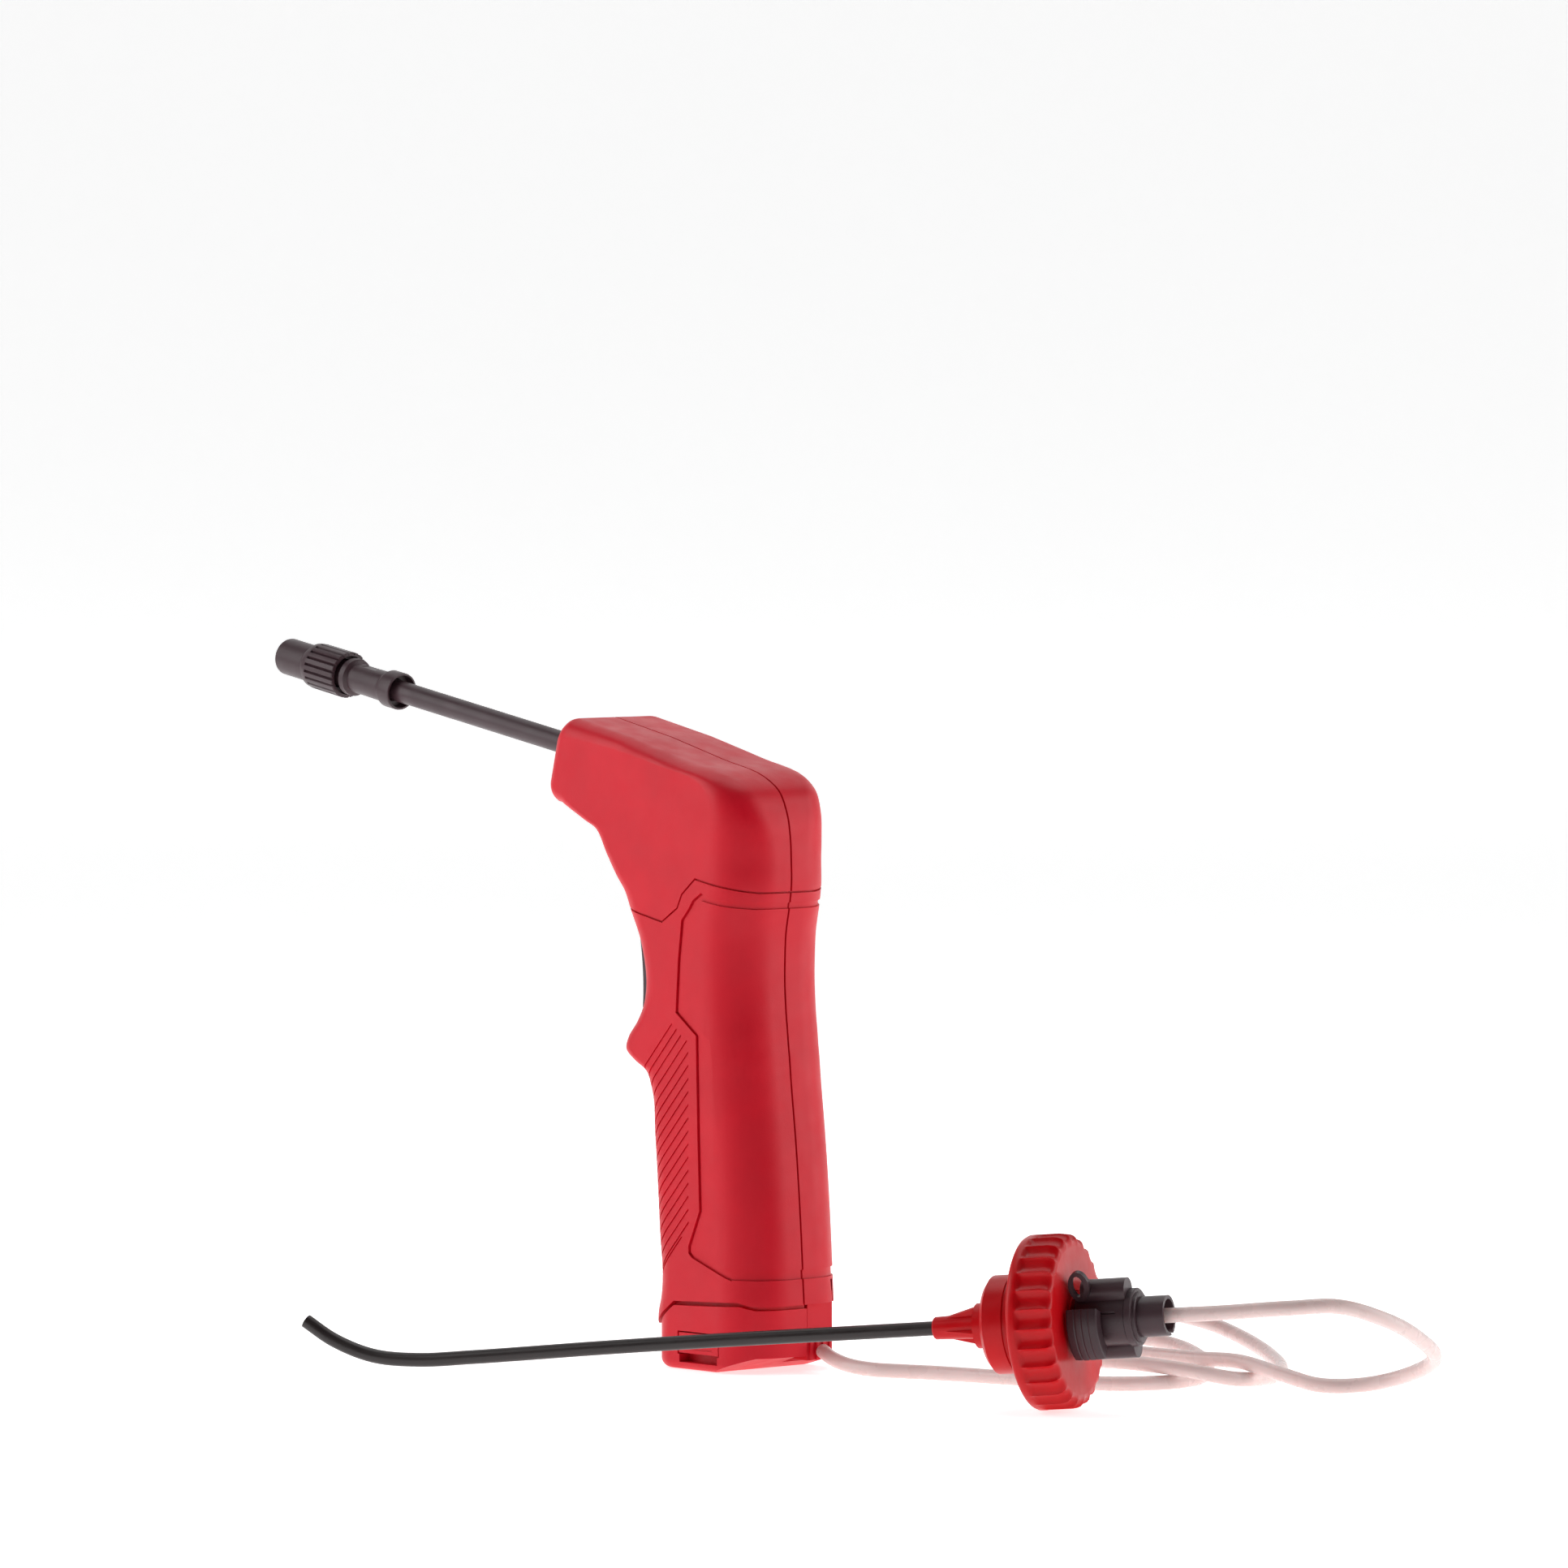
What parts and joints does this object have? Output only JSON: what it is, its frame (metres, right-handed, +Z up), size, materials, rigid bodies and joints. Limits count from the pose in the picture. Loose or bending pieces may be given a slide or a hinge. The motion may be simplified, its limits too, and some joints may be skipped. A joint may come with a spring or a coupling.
{
  "type": "battery wand sprayer",
  "caption": "Battery-powered pistol-grip wand sprayer with a rising lance, adjustable nozzle and a soft supply hose to a fluted bottle cap with dip tube.",
  "frame": {"origin": "on the floor under the middle of the handle's flat foot, in the middle plane of the handle", "axes": "+X the way the wand sprays, +Y the tool's left side, +Z up along the grip"},
  "size_m": [0.4485, 0.2516, 0.2158],
  "materials": {
    "shell_red": "fine moulded grain, satin",
    "dark_plastic": "smooth moulded, satin",
    "cap_red": "slightly translucent polypropylene",
    "black_plastic": "smooth extruded, satin",
    "hose_clear": "milky soft vinyl",
    "rubber_seal": "matt",
    "steel": "plain bright",
    "cell_jacket": "printed jacket, unmarked",
    "pump_white": "natural acetal",
    "wire_red": "vinyl insulation"
  },
  "bodies": {
    "handle": {"housing_left": "shell_red", "housing_right": "shell_red", "housing_screw_1": "steel", "housing_screw_2": "steel", "housing_screw_3": "steel", "housing_screw_4": "steel", "trigger_pin": "steel", "trigger_spring": "steel", "micro_switch": "black_plastic", "motor": "steel", "pump_body": "pump_white", "pump_head": "dark_plastic", "pump_outlet_hose": "hose_clear", "pump_inlet_hose": "hose_clear", "battery_carrier": "black_plastic", "battery_1": "cell_jacket", "battery_2": "cell_jacket", "battery_3": "cell_jacket", "battery_4": "cell_jacket", "contact_plate_top": "steel", "contact_plate_bottom": "steel", "wire_switch": "wire_red", "wire_motor": "black_plastic", "wand_bush": "dark_plastic", "wand_tube": "dark_plastic", "nozzle_body": "dark_plastic", "nozzle_seal": "rubber_seal", "hose_spout": "shell_red", "supply_hose": "hose_clear", "connector_body": "dark_plastic"},
    "battery_cap": {"battery_cap": "shell_red"},
    "latch_left": {"latch_left": "shell_red"},
    "latch_right": {"latch_right": "shell_red"},
    "trigger": {"trigger": "dark_plastic"},
    "switch_plunger": {"switch_plunger": "dark_plastic"},
    "nozzle_cap": {"nozzle_cap": "dark_plastic"},
    "cap_insert": {"cap_insert": "cap_red", "cap_gasket": "rubber_seal", "dip_tube": "black_plastic"},
    "screw_cap": {"screw_cap": "cap_red"},
    "release_lever_front": {"release_lever_front": "dark_plastic"},
    "release_lever_back": {"release_lever_back": "dark_plastic"}
  },
  "joints": [
    {"name": "trigger_pull", "type": "hinge", "parent": "handle", "child": "trigger", "pos_m": [0.031, 0, 0.1445], "axis": [0, 1, 0], "range_deg": [0, 6], "stiffness_Nm_per_rad": 0.6, "springref_deg": -11.46},
    {"name": "plunger_press", "type": "slide", "parent": "handle", "child": "switch_plunger", "axis": [-1, 0, 0], "range_m": [0, 0.0026]},
    {"name": "nozzle_turn", "type": "hinge", "parent": "handle", "child": "nozzle_cap", "pos_m": [0.067, 0, 0.1836], "axis": [0.9848, 0, 0.1736], "range_deg": [0, 360]},
    {"name": "battery_cap_slide", "type": "slide", "parent": "handle", "child": "battery_cap", "axis": [0, 0, -1], "range_m": [0, 0.025]},
    {"name": "latch_left_push", "type": "slide", "parent": "battery_cap", "child": "latch_left", "axis": [0, -1, 0], "range_m": [0, 0.0019], "stiffness_N_per_m": 400, "springref_m": -0.002},
    {"name": "latch_right_push", "type": "slide", "parent": "battery_cap", "child": "latch_right", "axis": [0, 1, 0], "range_m": [0, 0.0019], "stiffness_N_per_m": 400, "springref_m": -0.002},
    {"name": "quick_connect_slide", "type": "slide", "parent": "handle", "child": "cap_insert", "axis": [0.8852, 0.4571, -0.087], "range_m": [0, 0.014]},
    {"name": "cap_spin", "type": "hinge", "parent": "cap_insert", "child": "screw_cap", "pos_m": [-0.153, 0.019, 0.0259], "axis": [-0.8852, -0.4571, 0.087], "continuous": true},
    {"name": "lever_front_squeeze", "type": "hinge", "parent": "handle", "child": "release_lever_front", "pos_m": [-0.1741, 0.0189, 0.0244], "axis": [0.068, -0.3131, -0.9473], "range_deg": [0, 5], "stiffness_Nm_per_rad": 0.05, "springref_deg": -5.73},
    {"name": "lever_back_squeeze", "type": "hinge", "parent": "handle", "child": "release_lever_back", "pos_m": [-0.1648, 0.00205, 0.0306], "axis": [-0.068, 0.3131, 0.9473], "range_deg": [0, 5], "stiffness_Nm_per_rad": 0.05, "springref_deg": -5.73}
  ],
  "couplings": [
    {"joint": "plunger_press", "follows": "trigger_pull", "m_per_rad": 0.0225}
  ]
}
